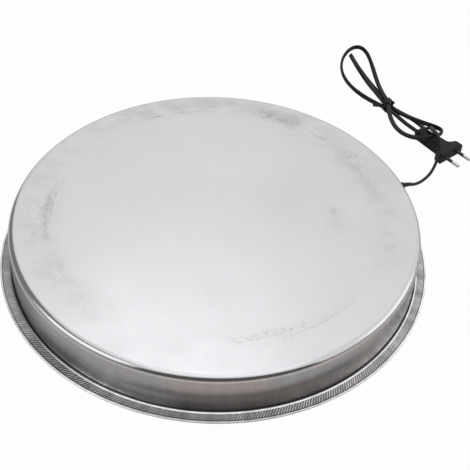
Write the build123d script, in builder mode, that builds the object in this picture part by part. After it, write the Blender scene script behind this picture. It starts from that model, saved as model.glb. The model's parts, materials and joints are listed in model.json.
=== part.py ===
"""Heated base for a poultry drinker: a drawn steel pan hemmed into a base plate, with a foil heater inside."""
import os
from math import acos, atan, cos, degrees, pi, radians, sin, tan

from build123d import *

os.makedirs("parts", exist_ok=True)

# Pan and base plate, the two pressings
rim_radius = 210.0
wall_radius = 198.4
overall_height = 47.2
pan_sheet = 0.8
corner_radius = 4.2
foot_radius = 1.6
base_sheet = 0.6
bead_height = 3.4
step_radius = 0.7
hem_width = 9.8
flange_margin = 2.7
panel_radius = 184.0
panel_rise = 2.2
panel_slope = 8.0
rib_radius = 110.0
rib_width = 12.0
rib_rise = 1.4

# Foil heater
foil_sheet = 0.2
foil_margin = 6.7
cable_diameter = 3.0
first_turn_radius = 40.0
turn_pitch = 20.0
turn_count = 8
gap_half_angle = 12.0
splice_length = 7.0
first_turn_angle = 42.0
mat_margin = 1.5
pocket_radius = 47.0
stud_opening_radius = 19.0
channel_width = 50.0
channel_floor = 8.5

# Thermostat
cap_radius = 8.3
cap_sheet = 0.5
cap_height = 5.2
cap_lip = 0.8
body_fit = 0.1
body_drop = 6.2
chamber_radius = 6.4
chamber_height = 5.0
disc_radius = 7.4
disc_sheet = 0.25
disc_dome = 0.5
disc_recess_radius = 6.6
disc_recess = 1.0
pin_diameter = 2.4
pin_fit = 0.05
pin_free = 0.3
leaf_sheet = 0.25
leaf_width = 3.0
leaf_drop = 2.6
hinge_offset = 4.6
leaf_heel = 1.2
contact_offset = 4.4
contact_radius = 1.0
contact_height = 0.6
contact_gap = 0.06
contact_margin = 0.5
tab_width = 6.3
tab_sheet = 0.8
tab_reach = 18.0
cover_sheet = 0.9
bracket_sheet = 0.8
bracket_fit = 0.05
ear_pitch = 23.8
ear_width = 8.0
stud_diameter = 3.0
stud_foot_diameter = 4.6
stud_foot = 0.8
stud_length = 9.2
stud_fit = 0.1
nut_width = 5.5
nut_height = 2.4
receptacle_length = 10.0
receptacle_start = 10.3
receptacle_wall = 0.9
receptacle_fit = 0.05
barrel_diameter = 3.6
barrel_length = 6.0
lead_diameter = 2.2

# Cord, the bush it leaves by, and the tied hank
cord_width = 5.2
cord_thickness = 3.2
exit_azimuth = 27.0
exit_height = 15.5
bush_hole_radius = 4.7
bush_fit = 0.1
bush_flange_radius = 7.0
bush_flange = 2.4
bush_barb_radius = 6.2
bush_barb = 2.2
bush_sleeve = 17.5
bush_root_radius = 4.9
bush_tip_radius = 3.5
cord_inside = 26.0
collar_length = 8.0
collar_wall = 0.9
core_spread = 1.3
floor_gap = 0.1
cord_round = 4.2
strand_side = 2.7
strand_layer = 4.7
tie_x = 191.0
tie_y = 256.0
tie_heading = 118.0
tie_band = 1.1
tie_slack = 0.5
tie_length = 4.0
tie_corner = 4.0
tie_wire = 1.8
tie_tail = 13.0
tie_tail_heading = 173.0
tie_nub = 5.0
tie_nub_heading = 47.0
loop_steps = 20
sample_step = 4.0
sample_apart = 30.0

# Two-pin plug, lying flat
plug_x = 221.8
plug_y = 204.2
plug_heading = -48.0
plug_length = 50.0
plug_width = 35.3
plug_thickness = 13.7
plug_tail_width = 13.0
plug_waist_width = 17.0
plug_head = 7.0
plug_shoulder = 9.0
plug_edge = 3.0
grip_ribs = 6
grip_start = 4.0
grip_pitch = 3.0
grip_groove = 1.0
grip_depth = 0.7
pin_shank_diameter = 4.0
pin_core_diameter = 3.0
pin_reach = 19.0
pin_pitch = 18.6
pin_root = 8.0
pin_round = 1.0
sleeve_length = 10.0
sleeve_diameter = 3.8

# Heights inside the housing, counted down from the plate
plate_under = overall_height - pan_sheet
foil_under = plate_under - foil_sheet
cable_height = foil_under - cable_diameter / 2
lower_foil_top = foil_under - cable_diameter
mat_top = lower_foil_top - foil_sheet
mat_bottom = panel_rise + base_sheet
wall_inner = wall_radius - pan_sheet
foil_radius = wall_inner - foil_margin
flange_top = base_sheet + pan_sheet
flange_radius = rim_radius - flange_margin

# The inside is laid out along the line from the centre to the cord's exit
exit_way = (cos(radians(exit_azimuth)), sin(radians(exit_azimuth)), 0)
exit_across = (-exit_way[1], exit_way[0], 0)
bench = Plane(origin=(0, 0, 0), x_dir=exit_way, z_dir=(0, 0, 1))
bush_face = wall_radius + floor_gap
bush_tip = bush_face + bush_flange + bush_sleeve
cord_end = wall_inner - cord_inside


def square_to_exit(reach):
    """A plane square to the exit line, as far from the centre as reach."""
    return Plane(origin=bench.from_local_coords((reach, 0, exit_height)), x_dir=exit_across, z_dir=exit_way)


def on_bench(points):
    """Points given along, across and above the exit line, in the part's own frame."""
    return [bench.from_local_coords(point) for point in points]


def bend_radii(points):
    """At each point of a route, as large a radius as its two runs allow."""
    radii = []
    for before, here, after in zip(points, points[1:], points[2:]):
        first = Vector(here) - Vector(before)
        second = Vector(after) - Vector(here)
        half_turn = radians(first.get_angle(second)) / 2
        radii.append(0.45 * min(first.length, second.length) / tan(half_turn))
    return radii


def start_plane(path):
    """The plane square to a path at its start, with its x direction level."""
    way = path % 0
    return Plane(origin=path @ 0, x_dir=Vector(0, 0, 1).cross(way), z_dir=way)


def heading_vector(azimuth, rise=0.0):
    """A unit vector at an azimuth from +X and a rise above level."""
    level = cos(radians(rise))
    return Vector(level * cos(radians(azimuth)), level * sin(radians(azimuth)), sin(radians(rise)))


# Pan: plate, wall and flange drawn from one sheet
with BuildPart() as heater_pan:
    with BuildSketch(Plane.XZ):
        with BuildLine():
            plate_line = Line((0, overall_height), (wall_radius - corner_radius, overall_height))
            corner_arc = JernArc(plate_line @ 1, plate_line % 1, corner_radius, -90)
            wall_line = Line(corner_arc @ 1, (wall_radius, flange_top + foot_radius))
            foot_arc = JernArc(wall_line @ 1, wall_line % 1, foot_radius, 90)
            Line(foot_arc @ 1, (flange_radius, flange_top))
            offset(amount=pan_sheet, side=Side.RIGHT)
        make_face()
    revolve(axis=Axis.Z)
    with BuildSketch(square_to_exit(wall_inner - corner_radius)):
        Circle(bush_hole_radius)
    extrude(amount=2 * corner_radius, mode=Mode.SUBTRACT)
heater_pan.part.label = "heater_pan"
export_step(heater_pan.part, "parts/heater_pan.step")

# Base plate: raised panel with a pressed ring, and a rolled hem closed over the pan's flange
bead_radius = bead_height / 2
bead_middle = bead_radius - base_sheet / 2
bead_centre = rim_radius - bead_radius
leaf_middle = flange_top + base_sheet / 2
hem_drop = bead_radius + bead_middle - leaf_middle
hem_turn = degrees(acos(1 - hem_drop / (bead_middle + step_radius)))
slope_turn = 2 * degrees(atan(panel_rise / panel_slope))
slope_radius = panel_slope / 2 / sin(radians(slope_turn))
with BuildPart() as base_plate:
    with BuildSketch(Plane.XZ):
        with BuildLine():
            middle = base_sheet / 2
            raised = panel_rise + middle
            panel_line = Line((0, raised), (rib_radius - rib_width / 2, raised))
            rib_arc = ThreePointArc(panel_line @ 1, (rib_radius, raised - rib_rise), (rib_radius + rib_width / 2, raised))
            outer_line = Line(rib_arc @ 1, (panel_radius, raised))
            slope_top = JernArc(outer_line @ 1, outer_line % 1, slope_radius, -slope_turn)
            slope_foot = JernArc(slope_top @ 1, slope_top % 1, slope_radius, slope_turn)
            foot_line = Line(slope_foot @ 1, (bead_centre, middle))
            bead_arc = JernArc(foot_line @ 1, foot_line % 1, bead_middle, 180 + hem_turn)
            step_arc = JernArc(bead_arc @ 1, bead_arc % 1, step_radius, -hem_turn)
            Line(step_arc @ 1, (rim_radius - hem_width, leaf_middle))
            offset(amount=base_sheet / 2, side=Side.BOTH)
        make_face()
        Rectangle(rim_radius, overall_height, align=(Align.MAX, Align.CENTER), mode=Mode.SUBTRACT)
    revolve(axis=Axis.Z)
base_plate.part.label = "base_plate"
export_step(base_plate.part, "parts/base_plate.step")

# Upper foil, stuck to the underside of the plate
with BuildPart() as upper_foil:
    with BuildSketch(bench.offset(foil_under)):
        Circle(foil_radius)
        Circle(stud_opening_radius, mode=Mode.SUBTRACT)
    extrude(amount=foil_sheet)
upper_foil.part.label = "upper_foil"
export_step(upper_foil.part, "parts/upper_foil.step")

# Heating cable: broken rings joined by hairpins on either side of the gap
with BuildPart() as heating_cable:
    with BuildLine(bench.offset(cable_height)) as cable_path:
        for turn in range(turn_count):
            turn_radius = first_turn_radius + turn * turn_pitch
            turn_start = first_turn_angle if turn == 0 else gap_half_angle
            CenterArc((0, 0), turn_radius, turn_start, 360 - gap_half_angle - turn_start)
            if turn < turn_count - 1:
                side = -gap_half_angle if turn % 2 == 0 else gap_half_angle
                hairpin_start = side if turn % 2 == 0 else side - 180
                hairpin_reach = turn_radius + turn_pitch / 2
                hairpin_centre = (hairpin_reach * cos(radians(side)), hairpin_reach * sin(radians(side)))
                CenterArc(hairpin_centre, turn_pitch / 2, hairpin_start, 180)
    cable_wire = cable_path.wire()
    with BuildSketch(Plane(origin=cable_wire @ 0, z_dir=cable_wire % 0)):
        Circle(cable_diameter / 2)
    sweep(path=cable_wire)
heating_cable.part.label = "heating_cable"
export_step(heating_cable.part, "parts/heating_cable.step")

# Lower foil, open over the thermostat and the wiring channel
with BuildPart() as lower_foil:
    with BuildSketch(bench.offset(mat_top)):
        Circle(foil_radius)
        Circle(pocket_radius, mode=Mode.SUBTRACT)
        Rectangle(wall_radius, channel_width, align=(Align.MIN, Align.CENTER), mode=Mode.SUBTRACT)
    extrude(amount=foil_sheet)
lower_foil.part.label = "lower_foil"
export_step(lower_foil.part, "parts/lower_foil.step")

# Glass-fibre mat that fills the housing, with a pocket and a channel for the wiring
with BuildPart() as insulation_mat:
    with BuildSketch(bench.offset(mat_bottom)):
        Circle(wall_inner - mat_margin)
    extrude(amount=mat_top - mat_bottom)
    with BuildSketch(bench.offset(channel_floor)):
        Circle(pocket_radius)
        Rectangle(wall_radius, channel_width, align=(Align.MIN, Align.CENTER))
    extrude(amount=mat_top - channel_floor, mode=Mode.SUBTRACT)
insulation_mat.part.label = "insulation_mat"
export_step(insulation_mat.part, "parts/insulation_mat.step")

# Thermostat cap, its flat face against the plate
cap_bottom = plate_under - cap_height
with BuildPart() as thermostat_cap:
    with BuildSketch(bench.offset(cap_bottom)):
        Circle(cap_radius)
    extrude(amount=cap_height)
    with BuildSketch(bench.offset(cap_bottom)):
        Circle(cap_radius + cap_lip)
    extrude(amount=cap_lip)
    with BuildSketch(bench.offset(cap_bottom)):
        Circle(cap_radius - cap_sheet)
    extrude(amount=cap_height - cap_sheet, mode=Mode.SUBTRACT)
thermostat_cap.part.label = "thermostat_cap"
export_step(thermostat_cap.part, "parts/thermostat_cap.step")

# Thermostat body: disc seat above, guide bore for the pin, contact chamber below
neck_radius = cap_radius - cap_sheet - body_fit
seat_height = plate_under - cap_sheet - disc_sheet - 2 * disc_dome
body_bottom = cap_bottom - body_drop
chamber_top = body_bottom + chamber_height
tab_high = chamber_top - tab_sheet
leaf_top = chamber_top - leaf_drop + leaf_sheet
tab_low = leaf_top - leaf_sheet - contact_gap - tab_sheet
with BuildPart() as thermostat_body:
    with BuildSketch(bench.offset(body_bottom)):
        Circle(cap_radius)
    extrude(amount=body_drop)
    with BuildSketch(bench.offset(cap_bottom)):
        Circle(neck_radius)
    extrude(amount=seat_height - cap_bottom)
    with BuildSketch(bench.offset(seat_height)):
        Circle(disc_recess_radius)
    extrude(amount=-disc_recess, mode=Mode.SUBTRACT)
    with BuildSketch(bench.offset(body_bottom)):
        Circle(chamber_radius)
    extrude(amount=chamber_height, mode=Mode.SUBTRACT)
    with BuildSketch(bench.offset(chamber_top)):
        Circle(pin_diameter / 2 + pin_fit)
    extrude(amount=seat_height - chamber_top, mode=Mode.SUBTRACT)
    with BuildSketch(bench.offset(tab_high)):
        Rectangle(tab_reach, tab_width, align=(Align.MIN, Align.CENTER))
    extrude(amount=tab_sheet, mode=Mode.SUBTRACT)
    with BuildSketch(bench.offset(tab_low)):
        Rectangle(tab_reach, tab_width, align=(Align.MAX, Align.CENTER))
    extrude(amount=tab_sheet, mode=Mode.SUBTRACT)
thermostat_body.part.label = "thermostat_body"
export_step(thermostat_body.part, "parts/thermostat_body.step")

# Bimetal disc, domed towards the plate while it is cold
dome_height = seat_height + disc_dome
with BuildPart() as bimetal_disc:
    with BuildSketch(Plane.XZ):
        with BuildLine():
            low_face = TangentArc((0, dome_height), (disc_radius, seat_height), tangent=(1, 0))
            high_face = TangentArc(
                (0, dome_height + disc_sheet), (disc_radius, seat_height + disc_sheet), tangent=(1, 0)
            )
            Line(low_face @ 0, high_face @ 0)
            Line(low_face @ 1, high_face @ 1)
        make_face()
    revolve(axis=Axis.Z)
bimetal_disc.part.label = "bimetal_disc"
export_step(bimetal_disc.part, "parts/bimetal_disc.step")

# Push pin between the disc and the leaf
with BuildPart() as push_pin:
    with BuildSketch(bench.offset(leaf_top + contact_gap)):
        Circle(pin_diameter / 2)
    extrude(amount=dome_height - pin_free - leaf_top - contact_gap)
push_pin.part.label = "push_pin"
export_step(push_pin.part, "parts/push_pin.step")

# Contact leaf, held at its heel, with its silver contact under the fixed one
with BuildPart() as contact_leaf:
    with BuildSketch(bench.offset(leaf_top)):
        with Locations((-hinge_offset - leaf_heel, 0)):
            Rectangle(
                hinge_offset + leaf_heel + contact_offset + contact_radius,
                leaf_width,
                align=(Align.MIN, Align.CENTER),
            )
    extrude(amount=-leaf_sheet)
    with BuildSketch(bench.offset(leaf_top)):
        with Locations((contact_offset, 0)):
            Circle(contact_radius)
    extrude(amount=contact_height)
contact_leaf.part.label = "contact_leaf"
export_step(contact_leaf.part, "parts/contact_leaf.step")

# Fixed terminal: tab outside, contact button over the leaf inside
fixed_drop = tab_high - leaf_top - contact_height - contact_gap
with BuildPart() as fixed_terminal:
    with BuildSketch(bench.offset(tab_high)):
        fixed_start = contact_offset - contact_radius - contact_margin
        with Locations((fixed_start, 0)):
            Rectangle(tab_reach - fixed_start, tab_width, align=(Align.MIN, Align.CENTER))
    extrude(amount=tab_sheet)
    with BuildSketch(bench.offset(tab_high)):
        with Locations((contact_offset, 0)):
            Circle(contact_radius)
    extrude(amount=-fixed_drop)
fixed_terminal.part.label = "fixed_terminal"
export_step(fixed_terminal.part, "parts/fixed_terminal.step")

# Leaf terminal: the tab that the leaf's heel is fixed on
with BuildPart() as leaf_terminal:
    with BuildSketch(bench.offset(tab_low)):
        with Locations((-hinge_offset, 0)):
            Rectangle(tab_reach - hinge_offset, tab_width, align=(Align.MAX, Align.CENTER))
    extrude(amount=tab_sheet)
leaf_terminal.part.label = "leaf_terminal"
export_step(leaf_terminal.part, "parts/leaf_terminal.step")

# Cover that closes the contact chamber
with BuildPart() as thermostat_cover:
    with BuildSketch(bench.offset(body_bottom)):
        Circle(cap_radius)
    extrude(amount=-cover_sheet)
thermostat_cover.part.label = "thermostat_cover"
export_step(thermostat_cover.part, "parts/thermostat_cover.step")

# Bracket under the cap's lip, with an ear for each stud
stud_places = [(0, -ear_pitch / 2), (0, ear_pitch / 2)]
with BuildPart() as thermostat_bracket:
    with BuildSketch(bench.offset(cap_bottom)):
        Circle(cap_radius + 2 * cap_lip)
        SlotCenterToCenter(ear_pitch, ear_width, rotation=90)
        Circle(cap_radius + bracket_fit, mode=Mode.SUBTRACT)
        with Locations(stud_places):
            Circle(stud_diameter / 2 + stud_fit, mode=Mode.SUBTRACT)
    extrude(amount=-bracket_sheet)
thermostat_bracket.part.label = "thermostat_bracket"
export_step(thermostat_bracket.part, "parts/thermostat_bracket.step")

# Two studs welded to the plate
with BuildPart() as weld_studs:
    with BuildSketch(bench.offset(plate_under)):
        with Locations(stud_places):
            Circle(stud_foot_diameter / 2)
    extrude(amount=-stud_foot)
    with BuildSketch(bench.offset(plate_under)):
        with Locations(stud_places):
            Circle(stud_diameter / 2)
    extrude(amount=-stud_length)
weld_studs.part.label = "weld_studs"
export_step(weld_studs.part, "parts/weld_studs.step")

# Nuts that pull the bracket up
with BuildPart() as stud_nuts:
    with BuildSketch(bench.offset(cap_bottom - bracket_sheet)):
        with Locations(stud_places):
            RegularPolygon(nut_width / 2, 6, major_radius=False)
            Circle(stud_diameter / 2 + stud_fit, mode=Mode.SUBTRACT)
    extrude(amount=-nut_height)
stud_nuts.part.label = "stud_nuts"
export_step(stud_nuts.part, "parts/stud_nuts.step")

# Push-on receptacles on the two tabs, each with its crimp barrel
tab_places = [(1, tab_high + tab_sheet / 2), (-1, tab_low + tab_sheet / 2)]
receptacle_end = receptacle_start + receptacle_length
barrel_end = receptacle_end + barrel_length
with BuildPart() as tab_receptacles:
    for way, tab_middle in tab_places:
        facing = Vector(exit_way) * way
        start = bench.from_local_coords((way * receptacle_start, 0, tab_middle))
        with BuildSketch(Plane(origin=start, x_dir=exit_across, z_dir=facing)):
            Rectangle(tab_width + 2 * receptacle_wall, tab_sheet + 2 * receptacle_wall)
            Rectangle(tab_width + 2 * receptacle_fit, tab_sheet + 2 * receptacle_fit, mode=Mode.SUBTRACT)
        extrude(amount=receptacle_length)
        back = bench.from_local_coords((way * receptacle_end, 0, tab_middle))
        with BuildSketch(Plane(origin=back, x_dir=exit_across, z_dir=facing)):
            Circle(barrel_diameter / 2)
        extrude(amount=barrel_length)
tab_receptacles.part.label = "tab_receptacles"
export_step(tab_receptacles.part, "parts/tab_receptacles.step")

# Crimped splices that carry the heating cable's two ends on
last_turn_radius = first_turn_radius + (turn_count - 1) * turn_pitch
splice_ends = []
with BuildPart() as crimp_splices:
    for reach, azimuth in [(first_turn_radius, first_turn_angle), (last_turn_radius, gap_half_angle)]:
        splice_way = Vector(sin(radians(azimuth)), -cos(radians(azimuth)), 0)
        splice_start = Vector(reach * cos(radians(azimuth)), reach * sin(radians(azimuth)), cable_height)
        splice_ends.append((splice_start + splice_way * splice_length, splice_way))
        splice_plane = Plane(
            origin=bench.from_local_coords(splice_start),
            z_dir=bench.from_local_coords(splice_way),
        )
        with BuildSketch(splice_plane):
            Circle(cable_diameter / 2)
        extrude(amount=splice_length)
crimp_splices.part.label = "crimp_splices"
export_step(crimp_splices.part, "parts/crimp_splices.step")

# Leads inside the housing, each from end to end along points chosen by hand
(inner_end, inner_way), (outer_end, outer_way) = splice_ends
lead_rest = channel_floor + lead_diameter / 2
live_route = [
    (cord_end, -core_spread, exit_height),
    (cord_end - 12, -core_spread, exit_height),
    (cord_end - 30, -4, lead_rest + 0.4),
    (cord_end - 62, -6, lead_rest),
    (cord_end - 95, -4, lead_rest + 3),
    (46, -1, tab_places[0][1] - 13.6),
    (35, 0, tab_places[0][1]),
    (barrel_end, 0, tab_places[0][1]),
]
neutral_route = [
    (cord_end, core_spread, exit_height),
    (cord_end - 11, core_spread, exit_height),
    (cord_end - 21, 4, 22),
    (cord_end - 22, 10, cable_height - 13.7),
    (cord_end - 12, 13, cable_height - 4.7),
    (cord_end + 2, 14, cable_height),
    outer_end + outer_way * 7,
    outer_end,
]
switched_route = [
    (-barrel_end, 0, tab_places[1][1]),
    (-barrel_end - 7, 0, tab_places[1][1]),
    (-38, -7, tab_places[1][1]),
    (-36, -17, tab_places[1][1]),
    (-22, -28, tab_places[1][1]),
    (0, -31, cable_height - 6.7),
    (20, -26, cable_height - 6.7),
    (34, -14, cable_height - 6.7),
    (40.5, 0, cable_height - 5.2),
    (41.5, 9, cable_height - 2.1),
    inner_end + inner_way * 6,
    inner_end,
]
lead_routes = {"live_lead": live_route, "neutral_lead": neutral_route, "switched_lead": switched_route}
for lead_name, lead_route in lead_routes.items():
    with BuildPart() as inner_lead:
        with BuildLine() as lead_path:
            lead_points = on_bench(lead_route)
            FilletPolyline(lead_points, radius=bend_radii(lead_points))
        with BuildSketch(start_plane(lead_path.wire())):
            Circle(lead_diameter / 2)
        sweep(path=lead_path.wire())
    inner_lead.part.label = lead_name
    export_step(inner_lead.part, f"parts/{lead_name}.step")

# Moulded bush: barb inside the wall, flange and tapered sleeve outside
with BuildPart() as cord_bush:
    with BuildSketch(square_to_exit(wall_inner - bush_barb - floor_gap)):
        Circle(bush_barb_radius)
    extrude(amount=bush_barb - bush_fit)
    with BuildSketch(square_to_exit(wall_inner - bush_barb)):
        Circle(bush_hole_radius - bush_fit)
    extrude(amount=bush_face - wall_inner + bush_barb)
    with BuildSketch(square_to_exit(bush_face)):
        Circle(bush_flange_radius)
    extrude(amount=bush_flange)
    with BuildSketch(square_to_exit(bush_face + bush_flange)):
        Circle(bush_root_radius)
    with BuildSketch(square_to_exit(bush_tip)):
        Circle(bush_tip_radius)
    loft()
    with BuildSketch(square_to_exit(wall_inner - bush_barb - cord_width)):
        SlotOverall(cord_width, cord_thickness)
    extrude(amount=bush_tip, mode=Mode.SUBTRACT)
cord_bush.part.label = "cord_bush"
export_step(cord_bush.part, "parts/cord_bush.step")

# Cord through the bush and into the housing
with BuildPart() as cord_entry:
    with BuildSketch(square_to_exit(cord_end)):
        SlotOverall(cord_width, cord_thickness)
    extrude(amount=bush_tip - cord_end)
cord_entry.part.label = "cord_entry"
export_step(cord_entry.part, "parts/cord_entry.step")

# Crimped collar that stops the cord from being pulled out
with BuildPart() as cord_collar:
    with BuildSketch(square_to_exit(wall_inner - bush_barb - floor_gap - collar_length)):
        SlotOverall(cord_width + 2 * collar_wall, cord_thickness + 2 * collar_wall)
        SlotOverall(cord_width, cord_thickness, mode=Mode.SUBTRACT)
    extrude(amount=collar_length)
cord_collar.part.label = "cord_collar"
export_step(cord_collar.part, "parts/cord_collar.step")

# Where the four strands pass the tie, in three layers
low_strand = floor_gap + tie_band + tie_slack + cord_round / 2
tie_across = heading_vector(tie_heading + 90)
tie_spot = Vector(tie_x, tie_y, 0)
strands = {
    "lead": tie_spot + Vector(0, 0, low_strand),
    "first": tie_spot + Vector(0, 0, low_strand + 2 * strand_layer),
    "second": tie_spot - tie_across * strand_side + Vector(0, 0, low_strand + strand_layer),
    "third": tie_spot + tie_across * strand_side + Vector(0, 0, low_strand + strand_layer),
}


def hank_loop(start, end, heading, side, reach, width, fullness, bow, lift):
    """One loop of the hank, out from the tie and back, as points on a teardrop."""
    points = []
    for step in range(1, loop_steps):
        share = step / loop_steps
        swing = sin(pi * share)
        across = width * sin(2 * pi * share) * (1 + fullness * swing**2) + 4 * bow * swing * (1 - swing)
        place = strands[start] * (1 - share) + strands[end] * share
        points.append(place + heading * reach * swing + side * across + Vector(0, 0, lift * swing**2))
    return points


# The cord's free stretch, chosen by hand: down to the floor, then up over the plug
lead_points = [
    bench.from_local_coords((bush_tip, 0, exit_height)),
    bench.from_local_coords((bush_tip + 6, 0, exit_height)),
    Vector(206.8, 107.4, 10.0),
    Vector(214.6, 118.8, 5.6),
    Vector(221.4, 127.9, 2.8),
    Vector(226.6, 134.8, 2.2),
    Vector(230.8, 140.0, 4.5),
    Vector(233.9, 144.9, 8.0),
    Vector(236.2, 149.1, 11.8),
    Vector(237.7, 154.0, 15.2),
    Vector(239.0, 159.0, 19.8),
    Vector(239.8, 165.6, 21.7),
    Vector(238.8, 173.3, 22.6),
    Vector(235.8, 184.1, 21.6),
    Vector(233.6, 194.0, 19.4),
    Vector(231.2, 203.2, 16.8),
    Vector(227.9, 211.2, 11.2),
    Vector(224.2, 219.6, 6.2),
    Vector(219.4, 228.4, 4.8),
    Vector(213.2, 236.8, 4.2),
    Vector(206.6, 244.2, 3.9),
    Vector(199.8, 250.4, 3.7),
]
lead_end_way = (lead_points[-1] - lead_points[-2]).normalized()

# The hank: a wide loop, a loop over the plug and a narrow leaning loop, then on to the plug
wide_heading = 110.9
over_heading = -56.8
narrow_heading = 113.7
narrow_lean = Vector(-0.57, -0.264, 0.777)
wide_loop = hank_loop(
    "lead", "first", heading_vector(wide_heading), heading_vector(wide_heading + 90), 103.6, 20.2, -0.15, 12.8, 12.0
)
over_loop = hank_loop(
    "first", "second", heading_vector(over_heading), heading_vector(over_heading + 90), 88.0, -16.1, 0.45, -9.3, 6.0
)
narrow_loop = hank_loop(
    "second", "third", heading_vector(narrow_heading), narrow_lean, 101.0, -7.5, 0.6, 1.3, 2.0
)
plug_way = heading_vector(plug_heading)
plug_middle = floor_gap + plug_thickness / 2
plug_entry = Vector(plug_x, plug_y, plug_middle)
hank_points = [lead_points[-1], lead_points[-1] + lead_end_way * cord_width, strands["lead"]]
hank_points = hank_points + wide_loop + [strands["first"]] + over_loop + [strands["second"]]
hank_points = hank_points + narrow_loop + [strands["third"]]
hank_points = hank_points + [
    Vector(198.6, 240.5, 7.6),
    Vector(206.0, 227.0, plug_middle),
    plug_entry - plug_way * 2 * cord_width,
    plug_entry,
]

cord_section = pi * cord_round**2 / 4
cord_run = 0.0
cord_samples = []
for cord_name, cord_points in {"cord_lead": lead_points, "cord_hank": hank_points}.items():
    cord_radii = bend_radii(cord_points)
    with BuildPart() as cord_piece:
        with BuildLine() as cord_path:
            FilletPolyline(cord_points, radius=cord_radii)
        cord_wire = cord_path.wire()
        with BuildSketch(start_plane(cord_wire)):
            Circle(cord_round / 2)
        sweep(path=cord_wire)
    cord_piece.part.label = cord_name
    export_step(cord_piece.part, f"parts/{cord_name}.step")
    swept = cord_section * cord_wire.length
    print(cord_name, "length", round(cord_wire.length, 1), "radii", [round(radius, 1) for radius in cord_radii])
    print(cord_name, "volume over section times length", round(cord_piece.part.volume / swept, 4))
    for step in range(int(cord_wire.length / sample_step)):
        place = cord_wire.position_at(step * sample_step, position_mode=PositionMode.LENGTH)
        cord_samples.append((cord_run + step * sample_step, place))
    cord_run = cord_run + cord_wire.length

# The cord's least gap to itself
least_gap = min(
    (place - other).length - cord_round
    for index, (reach, place) in enumerate(cord_samples)
    for other_reach, other in cord_samples[index + 1 :]
    if other_reach - reach > sample_apart
)
print("cord least gap to itself", round(least_gap, 2))

# Twisted tie: a band round the four strands, with its two ends sticking out
tie_way = heading_vector(tie_heading)
tie_middle = tie_spot + Vector(0, 0, low_strand + strand_layer)
tie_inner_width = 2 * strand_side + cord_round + 2 * tie_slack
tie_inner_height = 2 * strand_layer + cord_round + 2 * tie_slack
tie_face = tie_inner_width / 2 + tie_band / 2
with BuildPart() as hank_tie:
    with BuildSketch(Plane(origin=tie_middle - tie_way * tie_length / 2, x_dir=tie_across, z_dir=tie_way)):
        RectangleRounded(tie_inner_width + 2 * tie_band, tie_inner_height + 2 * tie_band, tie_corner + tie_band)
        RectangleRounded(tie_inner_width, tie_inner_height, tie_corner, mode=Mode.SUBTRACT)
    extrude(amount=tie_length)
    with BuildSketch(Plane(origin=tie_middle + tie_across * tie_face, z_dir=heading_vector(tie_tail_heading))):
        Circle(tie_wire / 2)
    extrude(amount=tie_tail)
    with BuildSketch(Plane(origin=tie_middle - tie_across * tie_face, z_dir=heading_vector(tie_nub_heading))):
        Circle(tie_wire / 2)
    extrude(amount=tie_nub)
hank_tie.part.label = "hank_tie"
export_step(hank_tie.part, "parts/hank_tie.step")

# Plug: slim ribbed tail, flared head
plug_deck = Plane(origin=(plug_x, plug_y, floor_gap), x_dir=plug_way, z_dir=(0, 0, 1))
plug_neck = plug_length - plug_head - plug_shoulder
shoulder_reach = plug_neck + plug_shoulder
pin_places = [(-pin_pitch / 2, plug_thickness / 2), (pin_pitch / 2, plug_thickness / 2)]


def square_to_plug(reach):
    """A plane square to the plug's length, as far from its tail as reach."""
    return Plane(origin=plug_deck.from_local_coords((reach, 0, 0)), x_dir=plug_deck.y_dir, z_dir=plug_way)


with BuildPart() as plug_body:
    with BuildSketch(plug_deck):
        with BuildLine():
            Polyline((0, 0), (0, plug_tail_width / 2), (plug_neck, plug_waist_width / 2))
            Bezier(
                (plug_neck, plug_waist_width / 2),
                (plug_neck + plug_shoulder * 0.6, plug_waist_width / 2 + 1),
                (plug_neck + plug_shoulder * 0.4, plug_width / 2),
                (shoulder_reach, plug_width / 2),
            )
            Polyline((shoulder_reach, plug_width / 2), (plug_length, plug_width / 2), (plug_length, 0))
            mirror(about=Plane.XZ)
        make_face()
    extrude(amount=plug_thickness)
    deck_edges = plug_body.edges().group_by(Axis.Z)
    fillet(deck_edges[0] + deck_edges[-1], radius=plug_edge)
    for rib in range(grip_ribs):
        reach = grip_start + rib * grip_pitch
        groove_width = plug_tail_width + (plug_waist_width - plug_tail_width) * reach / plug_neck
        with BuildSketch(square_to_plug(reach)):
            with Locations((0, plug_thickness / 2)):
                Rectangle(plug_width, 2 * plug_thickness)
                RectangleRounded(
                    groove_width - 2 * grip_depth, plug_thickness - 2 * grip_depth, plug_edge, mode=Mode.SUBTRACT
                )
        extrude(amount=grip_groove, mode=Mode.SUBTRACT)
    with BuildSketch(square_to_plug(plug_length)):
        with Locations(pin_places):
            Circle(pin_core_diameter / 2)
    extrude(amount=-pin_root, mode=Mode.SUBTRACT)
plug_body.part.label = "plug_body"
export_step(plug_body.part, "parts/plug_body.step")

# The two pins, thinner where they are sleeved and where they are moulded in
with BuildPart() as plug_pins:
    with BuildSketch(square_to_plug(plug_length - pin_root)):
        with Locations(pin_places):
            Circle(pin_core_diameter / 2)
    extrude(amount=pin_root + sleeve_length)
    with BuildSketch(square_to_plug(plug_length + sleeve_length)):
        with Locations(pin_places):
            Circle(pin_shank_diameter / 2)
    extrude(amount=pin_reach - sleeve_length)
    tip_faces = plug_pins.faces().filter_by(Plane(origin=(0, 0, 0), z_dir=plug_way)).sort_by(Axis((0, 0, 0), plug_way))
    fillet(tip_faces[-2:].edges(), radius=pin_round)
plug_pins.part.label = "plug_pins"
export_step(plug_pins.part, "parts/plug_pins.step")

# Insulating sleeves on the pins
with BuildPart() as pin_sleeves:
    with BuildSketch(square_to_plug(plug_length)):
        with Locations(pin_places):
            Circle(sleeve_diameter / 2)
            Circle(pin_core_diameter / 2, mode=Mode.SUBTRACT)
    extrude(amount=sleeve_length)
pin_sleeves.part.label = "pin_sleeves"
export_step(pin_sleeves.part, "parts/pin_sleeves.step")
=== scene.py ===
import json
import math

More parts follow.
